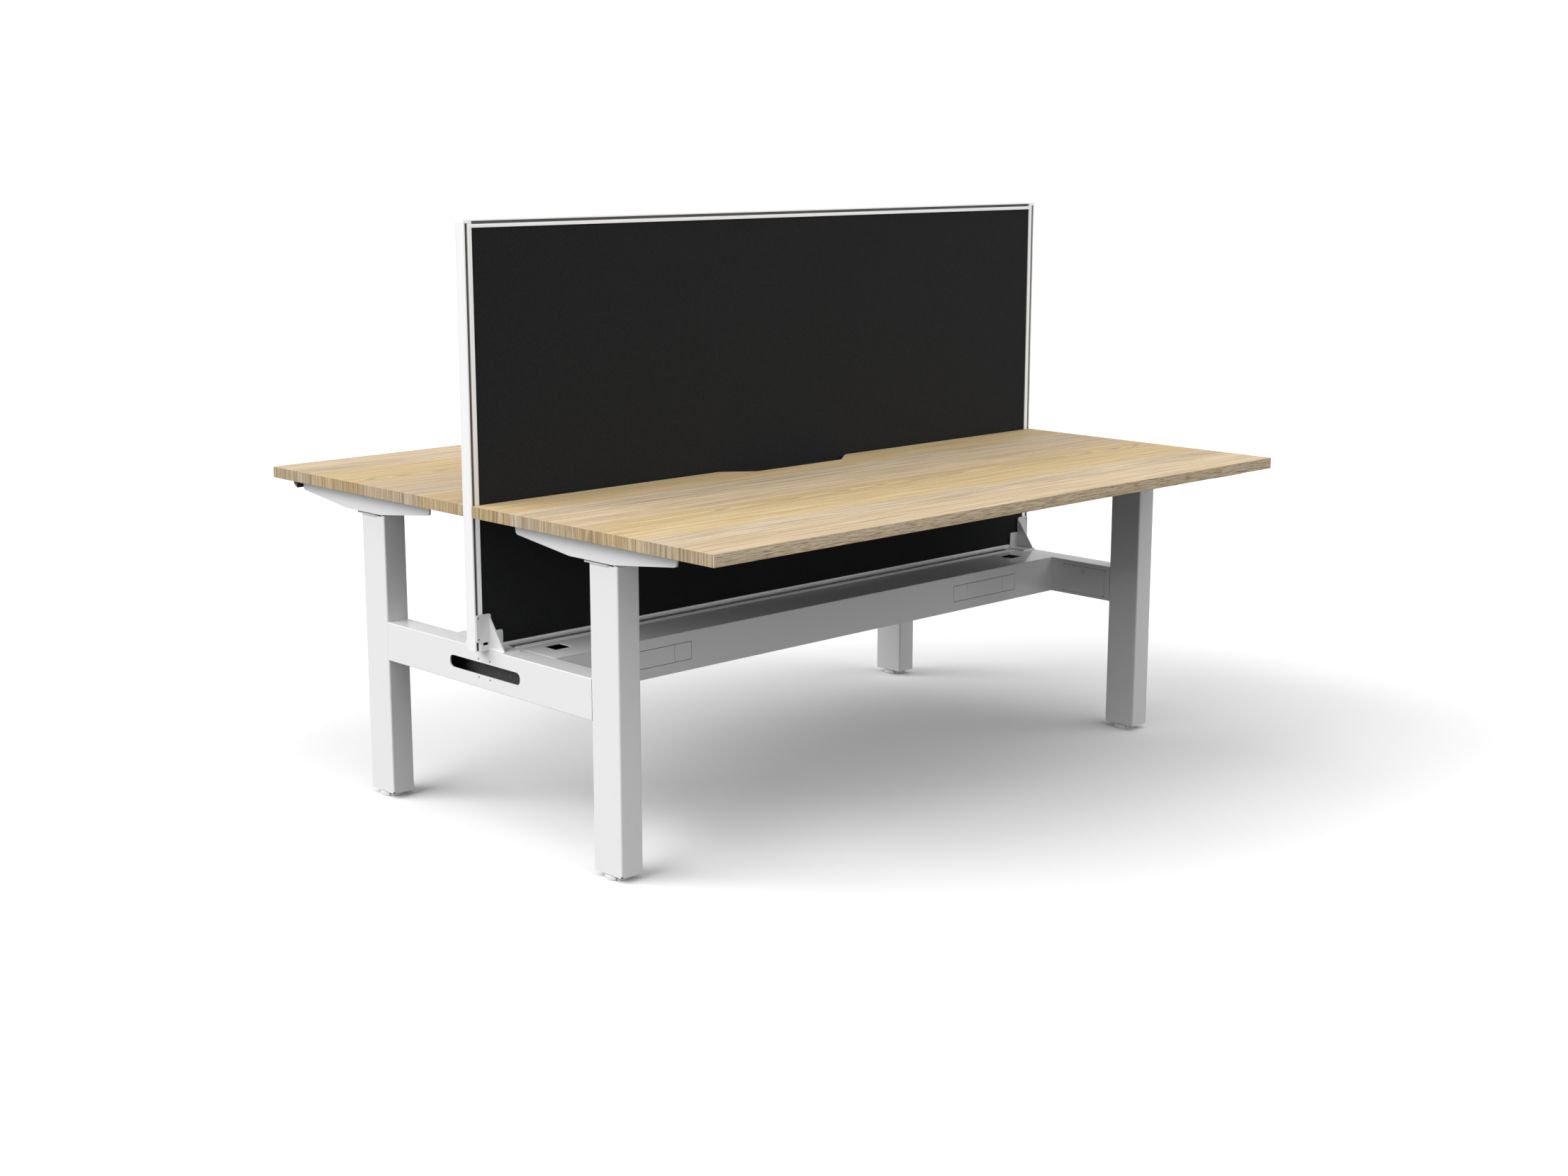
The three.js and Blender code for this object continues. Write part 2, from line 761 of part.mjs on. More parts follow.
function addScreenBrackets() {
  for (const [row, turn, near, far] of [['front', 0, 'left', 'right'], ['rear', Math.PI, 'right', 'left']]) {
    const pair = new THREE.Group();
    pair.rotation.z = turn;
    bench.add(pair);
    addPiece(pair, `screen_bracket_${row}_${near}`, screenBracket(-1), whitePaint);
    addPiece(pair, `screen_bracket_${row}_${far}`, screenBracket(1), whitePaint);
  }
}

addColumns();
addDesks();
addEndFrames();
addDuct();
addScreen();
addScreenBrackets();

export default bench;
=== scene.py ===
import json
import math

import bmesh
import bpy
from mathutils import Matrix, Vector

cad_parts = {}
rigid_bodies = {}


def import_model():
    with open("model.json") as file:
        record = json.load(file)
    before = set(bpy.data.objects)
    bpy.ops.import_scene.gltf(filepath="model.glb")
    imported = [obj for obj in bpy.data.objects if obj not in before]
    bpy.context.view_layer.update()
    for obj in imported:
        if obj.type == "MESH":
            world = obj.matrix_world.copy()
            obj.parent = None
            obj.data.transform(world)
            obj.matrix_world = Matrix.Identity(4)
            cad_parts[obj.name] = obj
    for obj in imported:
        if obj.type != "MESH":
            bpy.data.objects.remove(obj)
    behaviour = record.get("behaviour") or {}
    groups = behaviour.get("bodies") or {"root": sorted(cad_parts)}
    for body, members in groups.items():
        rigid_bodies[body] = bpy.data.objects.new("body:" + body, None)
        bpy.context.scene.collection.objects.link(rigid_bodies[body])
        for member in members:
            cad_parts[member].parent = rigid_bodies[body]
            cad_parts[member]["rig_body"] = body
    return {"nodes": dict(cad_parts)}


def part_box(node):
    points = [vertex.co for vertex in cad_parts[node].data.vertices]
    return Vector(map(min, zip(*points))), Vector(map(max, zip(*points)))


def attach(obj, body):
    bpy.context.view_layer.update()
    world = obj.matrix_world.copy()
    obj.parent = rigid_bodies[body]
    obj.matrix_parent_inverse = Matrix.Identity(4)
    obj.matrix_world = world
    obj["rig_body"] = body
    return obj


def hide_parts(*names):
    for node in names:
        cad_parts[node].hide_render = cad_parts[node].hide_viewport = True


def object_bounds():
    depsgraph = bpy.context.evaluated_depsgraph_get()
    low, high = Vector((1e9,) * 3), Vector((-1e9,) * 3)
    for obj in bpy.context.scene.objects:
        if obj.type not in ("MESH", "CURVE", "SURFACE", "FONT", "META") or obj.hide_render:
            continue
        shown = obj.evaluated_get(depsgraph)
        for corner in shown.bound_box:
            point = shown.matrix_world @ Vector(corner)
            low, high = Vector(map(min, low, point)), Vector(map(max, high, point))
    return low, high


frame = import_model()
nodes = frame["nodes"]
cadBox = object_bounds()
rows = {"front": -1, "rear": 1}  # the side of the screen a desk stands on
sides = {"left": -1, "right": 1}
print("frame loaded,", len(nodes), "nodes")


# camera at the photograph's place, turned in degrees
cameraSet = {
    "place": (-3.5296, -3.6856, 1.4703),
    "tilt": 78.382,
    "heading": -43.894,
    "lens": 50,
    "sensor": 36,
}


def addCamera(look):
    view = bpy.data.cameras.new("photoCamera")
    view.lens = look["lens"]
    view.sensor_width = look["sensor"]
    camera = bpy.data.objects.new("photoCamera", view)
    camera.location = look["place"]
    camera.rotation_euler = (math.radians(look["tilt"]), 0, math.radians(look["heading"]))
    bpy.context.scene.collection.objects.link(camera)
    bpy.context.scene.camera = camera


addCamera(cameraSet)
print("camera set")


class Wire:  # one socket of a node tree, with plain arithmetic on values
    def __init__(self, tree, socket=None):
        self.tree = tree
        self.socket = socket

    def node(self, kind, settings=None, inputs=None, output=0):
        made = self.tree.nodes.new("ShaderNode" + kind)
        for name, value in (settings or {}).items():
            if name == "stops":
                while len(made.color_ramp.elements) < len(value):
                    made.color_ramp.elements.new(1)
                for stop, (place, tone) in zip(made.color_ramp.elements, value):
                    stop.position = place
                    stop.color = tone
            else:
                setattr(made, name, value)
        for name, value in (inputs or {}).items():
            if isinstance(value, Wire):
                self.tree.links.new(value.socket, made.inputs[name])
            else:
                made.inputs[name].default_value = value
        return Wire(self.tree, made.outputs[output]) if made.outputs else None

    def out(self, name):
        return Wire(self.tree, self.socket.node.outputs[name])

    def maths(self, operation, first, second=0.0, third=0.0, clamp=False):
        settings = {"operation": operation, "use_clamp": clamp}
        return self.node("Math", settings, {0: first, 1: second, 2: third})

    def __add__(self, other):
        return self.maths("ADD", self, other)

    def __sub__(self, other):
        return self.maths("SUBTRACT", self, other)

    def __rsub__(self, other):
        return self.maths("SUBTRACT", other, self)

    def __mul__(self, other):
        return self.maths("MULTIPLY", self, other)

    def __truediv__(self, other):
        return self.maths("DIVIDE", self, other)

    def __rtruediv__(self, other):
        return self.maths("DIVIDE", other, self)

    def __gt__(self, other):
        return self.maths("GREATER_THAN", self, other)

    def __lt__(self, other):
        return self.maths("LESS_THAN", self, other)

    def __abs__(self):
        return self.maths("ABSOLUTE", self)

    __radd__ = __add__
    __rmul__ = __mul__


def startFinish(name, settings):
    made = bpy.data.materials.new(name)
    made.use_nodes = True
    shader = made.node_tree.nodes["Principled BSDF"]
    for socket, value in settings.items():
        shader.inputs[socket].default_value = value
    at = Wire(made.node_tree).node("TexCoord", output="Object")
    return made, shader, at


def feed(shader, **wires):
    for name, wire in wires.items():
        words = "".join(" " + letter if letter.isupper() else letter for letter in name)
        wire.tree.links.new(wire.socket, shader.inputs[words.strip().title()])


def split(at):
    first = at.node("SeparateXYZ", None, {0: at})
    return first, first.out("Y"), first.out("Z")


def stretched(at, x, y, z=0.0):
    return at.node("CombineXYZ", None, {0: x, 1: y, 2: z})


noiseMiddle = 0.5  # the mean of a noise texture


def noise(at, scale, detail=2.0, roughness=0.5):
    settings = {"Vector": at, "Scale": scale, "Detail": detail, "Roughness": roughness}
    return at.node("TexNoise", None, settings)


def tint(amount, first, second, blend="MIX"):  # sockets 6 and 7 and output 2 are those for colours
    settings = {"data_type": "RGBA", "blend_type": blend}
    return amount.node("Mix", settings, {0: amount, 6: first, 7: second}, 2)


def gate(value, low, high):  # 0 at low, 1 at high, which may be the smaller of the two
    return value.maths("MULTIPLY_ADD", value, 1 / (high - low), -low / (high - low), True)


def bump(height, strength, distance):
    return height.node("Bump", None, {"Strength": strength, "Distance": distance, "Height": height})


def grey(level):
    return (level, level, level, 1)


# white powder coat: fine speckle under a clear glossy skin
paintSet = {
    "light": grey(0.93),
    "dark": grey(0.87),
    "speck": 1300,
    "cloud": 9,
    "speckShare": 0.7,
    "rough": 0.34,
    "roughSwing": 0.16,
    "coat": 0.4,
    "coatSwing": 0.2,
    "coatRough": 0.06,
    "coatIor": 1.5,
    "peel": 0.05,
    "peelDepth": 0.0002,
}


def powderCoat(look):
    skin = {"Coat Roughness": look["coatRough"], "Coat IOR": look["coatIor"]}
    made, shader, at = startFinish("whitePowderCoat", skin)
    speck = noise(at, look["speck"])
    cloud = noise(at, look["cloud"], detail=3)
    mottle = speck * look["speckShare"] + cloud * (1 - look["speckShare"])
    feed(shader, baseColor=tint(mottle, look["dark"], look["light"]))
    feed(shader, roughness=look["rough"] + speck * look["roughSwing"])
    feed(shader, coatWeight=look["coat"] + cloud * look["coatSwing"])
    feed(shader, normal=bump(speck, look["peel"], look["peelDepth"]))
    return made


# coated screen rails: a dotted line pressed along each edge of the end faces,
# and fine lines along the inner lip
railSet = {
    "light": grey(0.985),
    "dark": grey(0.95),
    "dot": grey(0.66),
    "fineLine": grey(0.70),
    "speck": 1500,
    "end": 0.8995,  # the end faces lie beyond this
    "line": 0.0095,  # the dotted lines, from the screen's middle
    "pitch": 0.0036,
    "dotShare": 0.45,
    "face": 0.0149,  # the broad faces lie beyond this
    "lip": (0.0148, 0.0178),  # the fine lines, from the screen's rim
    "halfWidth": 0.0003,
    "metal": 0.48,
    "rough": 0.3,
    "roughSwing": 0.12,
    "coat": 0.6,
    "coatSwing": 0.1,
    "coatRough": 0.1,
    "coatIor": 1.6,
    "speckRise": 0.3,
    "press": 0.08,
    "pressDepth": 0.0002,
}


def coatedRail(look):
    skin = {"Metallic": look["metal"], "Coat Roughness": look["coatRough"], "Coat IOR": look["coatIor"]}
    made, shader, at = startFinish("whiteAluminium", skin)
    x, y, z = split(at)
    speck = noise(at, look["speck"])
    inLine = abs(abs(y) - look["line"]) < look["halfWidth"]
    step = z / look["pitch"]
    inDot = step.maths("FRACT", step) < look["dotShare"]
    dots = inLine * inDot * (abs(x) > look["end"])
    corner = cadBox[1]
    fromRim = x.maths("MINIMUM", corner.x - abs(x), corner.z - z)
    onFace = abs(y) > look["face"]
    lines = sum(abs(fromRim - place) < look["halfWidth"] for place in look["lip"]) * onFace
    tone = tint(speck, look["dark"], look["light"])
    tone = tint(lines, tone, look["fineLine"])
    feed(shader, baseColor=tint(dots, tone, look["dot"]))
    feed(shader, roughness=look["rough"] + speck * look["roughSwing"])
    feed(shader, coatWeight=look["coat"] + speck * look["coatSwing"])
    relief = speck * look["speckRise"] - dots - lines
    feed(shader, normal=bump(relief, look["press"], look["pressDepth"]))
    return made


# inside of the rail grooves: painted shade, darker with depth
grooveSet = {
    "light": grey(0.80),
    "dark": grey(0.26),
    "deep": 0.0085,
    "face": 0.0149,
    "speck": 1500,
    "waver": 0.001,
    "shine": 0.3,
    "rough": 0.5,
    "roughSwing": 0.15,
    "grain": 0.08,
    "grainDepth": 0.0002,
}


def railGroovePaintedShade(look):
    made, shader, at = startFinish("railGroovePaintedShade", {"Specular IOR Level": look["shine"]})
    y = split(at)[1]
    speck = noise(at, look["speck"])
    outward = abs(y) + (speck - noiseMiddle) * look["waver"]
    # painted shade: dark down in the groove, light at its mouth
    feed(shader, baseColor=tint(gate(outward, look["deep"], look["face"]), look["dark"], look["light"]))
    feed(shader, roughness=look["rough"] + speck * look["roughSwing"])
    feed(shader, normal=bump(speck, look["grain"], look["grainDepth"]))
    return made


# light oak decor board: planks across the depth, grain along the length
oakSet = {
    "yellow": (0.683, 0.510, 0.274, 1),
    "mild": (0.658, 0.512, 0.333, 1),
    "grey": (0.610, 0.481, 0.331, 1),
    "darkLine": (0.31, 0.23, 0.14, 1),
    "brownLine": (0.20, 0.135, 0.07, 1),
    "paleLine": (0.92, 0.80, 0.62, 1),
    "start": 0.145,  # where a set of planks begins, from the screen's middle
    "repeat": 0.42,  # depth of a set
    "planks": (0.18, 0.21, 0.51, 0.52, 0.992),  # shares of the set where the tone changes
    "shift": {"front": 0, "rear": 0.037},
    "facing": 0.7,  # how squarely a face looks along an axis to count as an edge or an end
    "edgeSpread": 1.6,
    "edgePlace": 0.41,
    "wave": 0.042,
    "edgeWave": 0.03,
    "broadSwing": 0.6,
    "sideBroad": 0.4,
    "streakSwing": 2.9,
    "greyStreak": 0.8,
    "endStreak": 1.8,
    "edgeStreak": 2.4,
    "yellowStreak": 0.4,
    "poreSwing": 0.9,
    "edgeLift": 0.14,
    "hairLevel": 0.6,
    "hairWidth": (0.03, 0.008),
    "hairShare": 0.1,
    "greyHair": 0.45,
    "dashStreak": (0.47, 0.38),
    "edgeDash": 0.6,
    "endDash": 0.25,
    "dashPore": (0.45, 0.3),
    "poreDash": 0.12,
    "endShade": grey(0.78),
    "bandEnd": 0.75,
    "seam": 0.7625,  # joint of board and band on the end faces, from the screen's middle
    "seamHalf": 0.0012,
    "seamShare": 0.6,
    "shine": 0.08,
    "rough": 0.55,
    "roughSwing": 0.2,
    "poreRise": 0.6,
    "streakRise": 0.4,
    "relief": 0.1,
    "reliefDepth": 0.0004,
}
grainSet = {  # scales along and across the grain, and the place in the noise
    "slow": {"along": 2, "across": 4, "start": 0, "layer": 0, "detail": 2, "rough": 0.5},
    "broad": {"along": 0.8, "across": 33, "start": 7, "layer": 4, "detail": 1, "rough": 0.5},
    "streak": {"along": 3, "across": 105, "start": 0, "layer": 0, "detail": 5, "rough": 0.74},
    "hair": {"along": 0.9, "across": 110, "start": 0, "layer": 6, "detail": 1, "rough": 0.5},
    "pores": {"along": 75, "across": 700, "start": 0, "layer": 9, "detail": 3, "rough": 0.65},
    "edgeMore": {"along": 17, "across": 180},  # finer streaks on the long edges
    "endMore": {"across": 85},  # and on the ends
}
flameSet = {  # curved figure along the yellow plank
    "middle": 0.62,
    "curve": 3000,
    "pitch": 5,
    "wander": 5,
    "reach": (0.03, 0.06),
    "streak": (0.35, 0.55),
    "line": (0.1, 1.0),
    "share": 0.65,
}


def grainNoise(along, across, look, moreAlong=0, moreAcross=0):
    lengthwise = along * (look["along"] + moreAlong) + look["start"]
    crosswise = across * (look["across"] + moreAcross)
    return noise(stretched(along, lengthwise, crosswise, look["layer"]), 1, look["detail"], look["rough"])


def oakBoard(name, look, way, shift, band=False):
    made, shader, at = startFinish(name, {"Specular IOR Level": look["shine"]})
    x, y, z = split(at)
    nx, ny, nz = split(at.out("Normal"))
    onEdge = (abs(nz) < look["facing"]) if band else (abs(ny) > look["facing"])
    offEdge = 1 - onEdge
    onEnd = (abs(nx) > look["facing"]) * offEdge
    along = x * -way + onEnd * z
    depth = y * way - shift
    across = depth + onEdge * (z * look["edgeSpread"] + look["edgePlace"] - depth)
    slow = grainNoise(along, across, grainSet["slow"])
    grain = across + (slow - noiseMiddle) * (look["wave"] + onEdge * (look["edgeWave"] - look["wave"]))
    broad = grainNoise(along, grain, grainSet["broad"])
    edgeMore = grainSet["edgeMore"]
    moreAcross = onEnd * grainSet["endMore"]["across"] + onEdge * edgeMore["across"]
    streak = grainNoise(along, grain, grainSet["streak"], onEdge * edgeMore["along"], moreAcross)
    hair = grainNoise(along, grain, grainSet["hair"])
    pores = grainNoise(along, grain, grainSet["pores"])
    share = (across - look["start"]) / look["repeat"]
    plank = share.maths("FRACT", share)
    greyEnd, mildStart, mildEnd, yellowStart, yellowEnd = look["planks"]
    stops = [
        (0.0, look["grey"]),
        (greyEnd, look["grey"]),
        (mildStart, look["mild"]),
        (mildEnd, look["mild"]),
        (yellowStart, look["yellow"]),
        (yellowEnd, look["yellow"]),
        (1.0, look["grey"]),
    ]
    tone = plank.node("ValToRGB", {"stops": stops}, {0: plank})
    yellow = gate(plank, mildEnd, yellowStart) * offEdge
    greyest = (1 - gate(plank, greyEnd, mildStart)) * offEdge
    off = (plank - flameSet["middle"]) * look["repeat"]
    phase = off * off * flameSet["curve"] + along * flameSet["pitch"] + slow * flameSet["wander"]
    flame = phase.maths("SINE", phase * (2 * math.pi))
    flameZone = yellow * (1 - gate(abs(off), *flameSet["reach"])) * gate(streak, *flameSet["streak"])
    # light and dark streaks that run the length of the board
    swing = (broad - noiseMiddle) * (look["broadSwing"] + (onEdge + onEnd) * look["sideBroad"])
    contrast = look["streakSwing"] + greyest * look["greyStreak"] + onEnd * look["endStreak"]
    contrast = contrast + onEdge * look["edgeStreak"] - yellow * look["yellowStreak"]
    swing = swing + (streak - noiseMiddle) * contrast
    swing = swing + (pores - noiseMiddle) * look["poreSwing"] + onEdge * look["edgeLift"]
    # fine pale threads, and short dark dashes
    thread = gate(abs(hair - look["hairLevel"]), *look["hairWidth"])
    thread = thread * (greyest * look["greyHair"] + look["hairShare"]) * (1 - yellow) * offEdge
    dash = gate(streak, *look["dashStreak"]) * (onEdge * look["edgeDash"] + onEnd * look["endDash"])
    dash = dash + gate(pores, *look["dashPore"]) * look["poreDash"]
    tone = tint(swing.maths("MAXIMUM", swing, 0), tone, look["paleLine"])
    tone = tint(swing.maths("MAXIMUM", swing * -1, 0), tone, look["darkLine"])
    tone = tint(thread, tone, look["paleLine"])
    tone = tint(gate(flame, *flameSet["line"]) * flameZone * flameSet["share"], tone, look["darkLine"])
    tone = tint(dash, tone, look["brownLine"])
    tone = tint(onEnd, tone, look["endShade"], "MULTIPLY")
    if band:
        tone = tint((abs(nx) > look["facing"]) * look["bandEnd"], tone, look["paleLine"])
    else:
        onSeam = abs(y * way - look["seam"]) < look["seamHalf"]
        tone = tint(onEnd * onSeam * look["seamShare"], tone, look["brownLine"])
    feed(shader, baseColor=tone)
    feed(shader, roughness=look["rough"] + pores * look["roughSwing"])
    relief = pores * look["poreRise"] + streak * look["streakRise"]
    feed(shader, normal=bump(relief, look["relief"], look["reliefDepth"]))
    return made


# black screen cloth: plain weave, slightly mottled
clothSet = {
    "dark": (0.0055, 0.0058, 0.0064, 1),
    "light": (0.0215, 0.0226, 0.025, 1),
    "pitch": 0.0012,
    "fuzz": 900,
    "mottle": 330,
    "mottleRange": (0.3, 0.7),
    "noiseRough": 0.6,
    "threadShare": 0.25,
    "fuzzShare": 0.25,
    "mottleShare": 0.5,
    "sheen": 0.08,
    "sheenRough": 0.5,
    "shine": 0.15,
    "rough": 0.85,
    "roughSwing": 0.12,
    "fuzzRise": 0.5,
    "relief": 0.35,
    "reliefDepth": 0.0004,
}


def screenCloth(look):
    nap = {"Sheen Weight": look["sheen"], "Sheen Roughness": look["sheenRough"]}
    made, shader, at = startFinish("blackWeave", {**nap, "Specular IOR Level": look["shine"]})
    x, y, z = split(at)
    warp = x.maths("SINE", x * (math.pi / look["pitch"]))
    weft = z.maths("SINE", z * (math.pi / look["pitch"]))
    over = warp * weft > 0
    thread = abs(warp) * over + abs(weft) * (1 - over)
    fuzz = noise(at, look["fuzz"], detail=3, roughness=look["noiseRough"])
    mottle = gate(noise(at, look["mottle"], roughness=look["noiseRough"]), *look["mottleRange"])
    shade = thread * look["threadShare"] + fuzz * look["fuzzShare"] + mottle * look["mottleShare"]
    feed(shader, baseColor=tint(shade, look["dark"], look["light"]))
    feed(shader, roughness=look["rough"] + fuzz * look["roughSwing"])
    feed(shader, normal=bump(thread + fuzz * look["fuzzRise"], look["relief"], look["reliefDepth"]))
    return made


# satin moulded and sheet surfaces with a fine spark texture
sparkSet = {
    "spark": 1800,
    "cloud": 25,
    "sparkShare": 0.6,
    "shine": 0.5,
    "roughSwing": 0.16,
    "relief": 0.12,
    "reliefDepth": 0.0002,
}
mouldedSet = {
    "blackPlastic": {"dark": 0.010, "light": 0.024, "rough": 0.42, "metal": 0},
    "whitePlastic": {"dark": 0.88, "light": 0.94, "rough": 0.45, "metal": 0},
    "capWhite": {"dark": 0.93, "light": 0.98, "rough": 0.45, "metal": 0.5},  # to match the rails
    # black inside the duct and in its scored lines: painted shade
    "ductPaintedShade": {"dark": 0.006, "light": 0.016, "rough": 0.7, "metal": 0},
    "boardBacking": {"dark": 0.13, "light": 0.19, "rough": 0.6, "metal": 0},
    # dark steel inside the beams, partly painted shade, and painted shade in the columns' corner holes
    "bareSteelAndPaintedShade": {"dark": 0.085, "light": 0.145, "rough": 0.55, "metal": 0},
    # grey of the head gaskets, also the painted shadow round the service covers
    "gasketGreyAndPaintedShadow": {"dark": 0.17, "light": 0.24, "rough": 0.6, "metal": 0},
    "markGrey": {"dark": 0.10, "light": 0.16, "rough": 0.5, "metal": 0},
}


def moulded(name, look, texture):
    settings = {"Specular IOR Level": texture["shine"], "Metallic": look["metal"]}
    made, shader, at = startFinish(name, settings)
    spark = noise(at, texture["spark"], detail=3)
    cloud = noise(at, texture["cloud"])
    mottle = spark * texture["sparkShare"] + cloud * (1 - texture["sparkShare"])
    feed(shader, baseColor=tint(mottle, grey(look["dark"]), grey(look["light"])))
    feed(shader, roughness=look["rough"] - texture["roughSwing"] / 2 + spark * texture["roughSwing"])
    feed(shader, normal=bump(spark, texture["relief"], texture["reliefDepth"]))
    return made


# turned or brushed steel, with fine marks round the upright axis
markingSet = {
    "round": 40,
    "stain": 14,
    "markShare": 0.6,
    "roughSwing": 0.2,
    "relief": 0.1,
    "reliefDepth": 0.0002,
}
steelSet = {
    "brightSteel": {"dark": 0.42, "light": 0.68, "rough": 0.3, "metal": 1.0, "turns": 900},
    "darkSteel": {"dark": 0.035, "light": 0.09, "rough": 0.42, "metal": 0.7, "turns": 300},
}


def steel(name, look, marking):
    made, shader, at = startFinish(name, {"Metallic": look["metal"]})
    x, y, z = split(at)
    place = stretched(at, x * marking["round"], y * marking["round"], z * look["turns"])
    marks = noise(place, 1, detail=3)
    stain = noise(at, marking["stain"], detail=3)
    mottle = marks * marking["markShare"] + stain * (1 - marking["markShare"])
    feed(shader, baseColor=tint(mottle, grey(look["dark"]), grey(look["light"])))
    feed(shader, roughness=look["rough"] - marking["roughSwing"] / 2 + marks * marking["roughSwing"])
    feed(shader, normal=bump(marks, marking["relief"], marking["reliefDepth"]))
    return made


paint = powderCoat(paintSet)
rail = coatedRail(railSet)
groove = railGroovePaintedShade(grooveSet)
cloth = screenCloth(clothSet)
oak = {row: oakBoard("oak_" + row, oakSet, way, oakSet["shift"][row]) for row, way in rows.items()}
oakBand = {row: oakBoard("oakBand_" + row, oakSet, way, 0, True) for row, way in rows.items()}
plain = {name: moulded(name, look, sparkSet) for name, look in mouldedSet.items()}
steels = {name: steel(name, look, markingSet) for name, look in steelSet.items()}
print("finishes made:", len(bpy.data.materials))


# copies of the solids and how their edges are eased, angles in degrees
copySet = {"merge": 1e-5, "flat": 0.5, "crease": 38, "level": 1e-4}
square = 0.9  # the least part of a normal along an axis that counts as facing that way


def cleanCopy(node):  # a node's mesh, merged and with its flat faces whole
    bm = bmesh.new()
    bm.from_mesh(nodes[node].data)
    flat = math.radians(copySet["flat"])
    bmesh.ops.remove_doubles(bm, verts=bm.verts[:], dist=copySet["merge"])
    bmesh.ops.dissolve_limit(bm, angle_limit=flat, verts=bm.verts[:], edges=bm.edges[:])
    return bm


def settle(bm, name, finishes, body, stands=(), edge=0.0, segments=2):
    mesh = bpy.data.meshes.new(name)
    bm.to_mesh(mesh)
    bm.free()
    mesh.shade_smooth()
    for one in finishes:
        mesh.materials.append(one)
    piece = bpy.data.objects.new(name, mesh)
    bpy.context.scene.collection.objects.link(piece)
    if edge:
        rounding = piece.modifiers.new("edges", "BEVEL")
        rounding.width = edge
        rounding.segments = segments
        rounding.limit_method = "ANGLE"
        rounding.angle_limit = math.radians(copySet["crease"])
    even = piece.modifiers.new("shading", "WEIGHTED_NORMAL")
    even.keep_sharp = True
    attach(piece, body)
    if stands:
        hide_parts(*stands)
    return piece


def bodyOf(node):
    return nodes[node]["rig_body"]


def block(bm, low, high, edge=0.0):  # a box between two corners, its edges eased if asked
    size = Vector(high) - Vector(low)
    place = Matrix.Translation((Vector(low) + Vector(high)) / 2) @ Matrix.Diagonal((*size, 1))
    made = bmesh.ops.create_cube(bm, size=1, matrix=place)["verts"]
    if edge:
        edges = {e for v in made for e in v.link_edges}
        bmesh.ops.bevel(
            bm, geom=list(edges), offset=edge, affect="EDGES", segments=2, profile=0.5, material=-1,
        )


# worktops: a board with a separate band along the user edge
boardSet = {"band": 0.0026, "edge": 0.0005, "bandEdge": 0.0004}


def halve(node, place, way, keepOuter, edge):
    bm = cleanCopy(node)
    bmesh.ops.bisect_plane(
        bm, geom=bm.verts[:] + bm.edges[:] + bm.faces[:], plane_co=(0, place, 0), plane_no=(0, way, 0),
        clear_inner=keepOuter, clear_outer=not keepOuter,
    )
    bmesh.ops.holes_fill(bm, edges=[e for e in bm.edges if e.is_boundary], sides=0)
    bmesh.ops.recalc_face_normals(bm, faces=bm.faces[:])
    # the seam's own edges stay sharp
    free = [e for e in bm.edges if max(abs(v.co.y - place) for v in e.verts) > copySet["merge"]]
    sharp = [e for e in free if e.calc_face_angle(0) > math.radians(copySet["crease"])]
    bmesh.ops.bevel(bm, geom=sharp, offset=edge, affect="EDGES", segments=2, profile=0.5, material=-1)
    return bm


for row, way in rows.items():
    node = "worktop_" + row
    low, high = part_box(node)
    userEdge = low.y if way < 0 else high.y
    seam = userEdge - way * boardSet["band"]
    board = halve(node, seam, way, False, boardSet["edge"])
    board.normal_update()
    for face in board.faces:
        face.material_index = int(face.normal.z < -square)  # grey balancing sheet under the board
    finishes = [oak[row], plain["boardBacking"]]
    settle(board, "board_" + row, finishes, bodyOf(node), [node])
    band = halve(node, seam, way, True, boardSet["bandEdge"])
    settle(band, "edge_band_" + row, [oakBand[row]], bodyOf(node))
print("worktops made")


# painted metalwork: copies of the solids with eased edges
paintedEdge = {
    "leg": 0.0009,
    "inner_tube": 0.0007,
    "top_channel": 0.0007,
    "beam": 0.0007,
    "beam_cover": 0.0004,
    "screen_bracket": 0.0005,
}
weldSet = {
    "beamWall": 0.002,
    "beamRunIn": 0.001,  # a beam's ends run this far into the columns
    "cornerHole": 0.0042,
    "headGasket": 0.0022,  # room for the gasket on a head plate
}


def family(node):
    words = [word for word in node.split("_") if word not in rows and word not in sides]
    return "_".join(words)


# dark finish: inside a beam it is partly bare steel and partly painted shade, in the column's corner hole
# it is painted shade
def isBareOrPaintedShade(face, kind, low, high, look):  # inside a beam, or in the small hole at a column's foot
    middle = face.calc_center_median()
    half = (high - low) / 2
    off = middle - (low + high) / 2
    if kind == "beam":
        return abs(off.x) < half.x - look["beamWall"] and abs(off.z) < half.z - look["beamWall"]
    # the hole is in the outer corner, the front one on the left and the rear one on the right
    corner = Vector((low.x, low.y, low.z)) if low.x < 0 else Vector((high.x, high.y, low.z))
    return kind == "leg" and max(abs(part) for part in middle - corner) < look["cornerHole"]


def moveLevel(bm, axis, level, step):  # shift the points that lie at one level
    flat = [v for v in bm.verts if abs(getattr(v.co, axis) - level) < copySet["level"]]
    shift = Vector((0, 0, 0))
    setattr(shift, axis, step)
    bmesh.ops.translate(bm, verts=flat, vec=shift)


